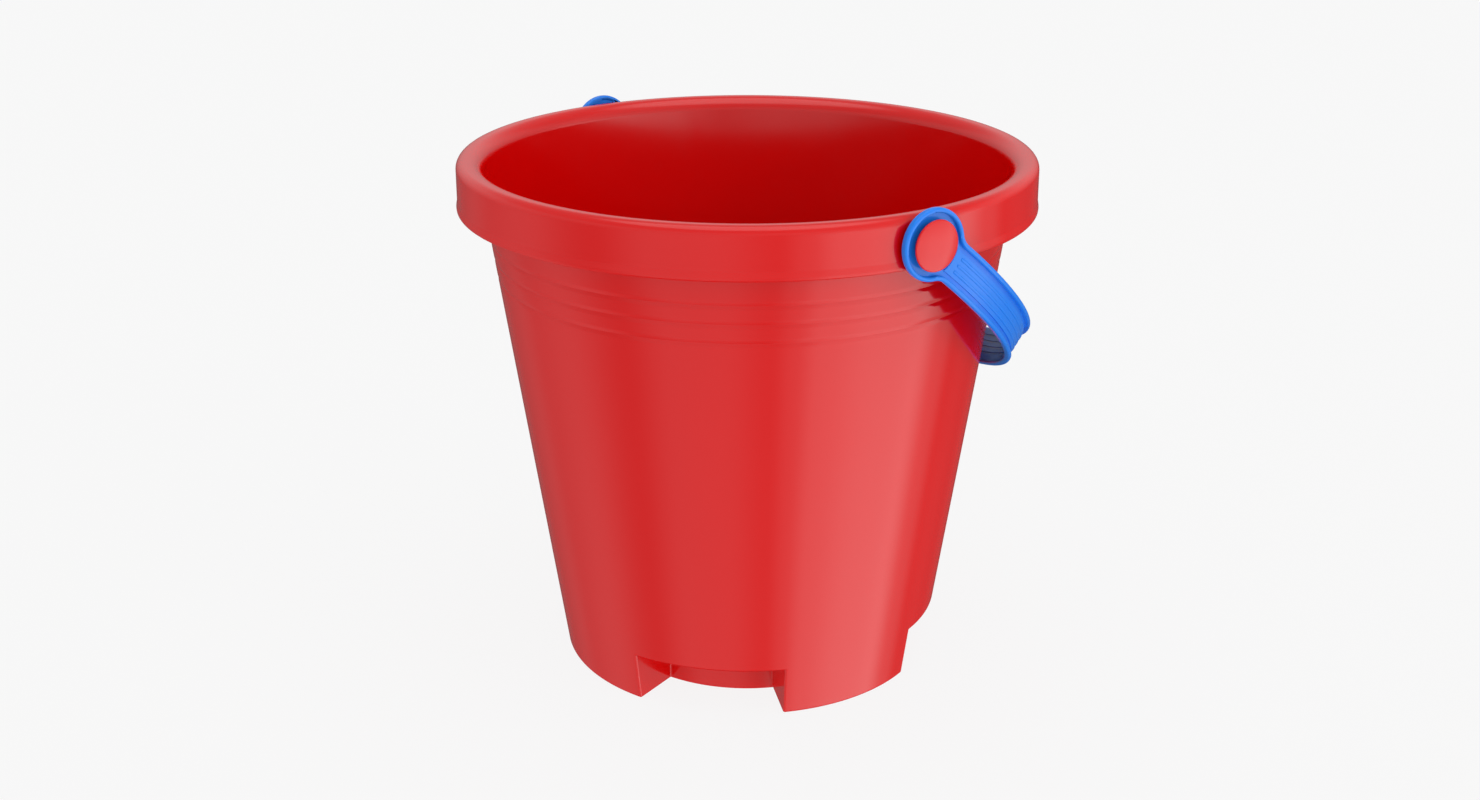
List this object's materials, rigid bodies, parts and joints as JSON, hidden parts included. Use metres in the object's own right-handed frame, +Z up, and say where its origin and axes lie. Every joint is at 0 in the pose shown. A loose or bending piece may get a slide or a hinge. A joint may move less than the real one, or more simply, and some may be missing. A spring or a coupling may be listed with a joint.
{
  "type": "toy sand bucket",
  "caption": "Tapered toy sand pail with a folded rim, a notched castle base, and a swinging strap handle pinned to the rim by round domed buttons.",
  "frame": {"origin": "centre of the base, on the plane that the bucket stands on", "axes": "+Z up; X along the handle's pivot axis; +Y towards the side that the handle hangs on at rest"},
  "size_m": [0.21, 0.2004, 0.1852],
  "materials": {
    "red_shell": "smooth glossy moulded polypropylene, red",
    "blue_handle": "smooth glossy moulded polypropylene, blue",
    "red_button": "smooth glossy moulded polypropylene, red"
  },
  "bodies": {
    "bucket": {"bucket_shell": "red_shell", "pivot_button_right": "red_button", "pivot_button_left": "red_button"},
    "handle": {"handle": "blue_handle"}
  },
  "joints": [
    {"name": "handle_swing", "type": "hinge", "parent": "bucket", "child": "handle", "pos_m": [0, 0, 0.1736], "axis": [1, 0, 0], "range_deg": [0, 258.9]}
  ]
}
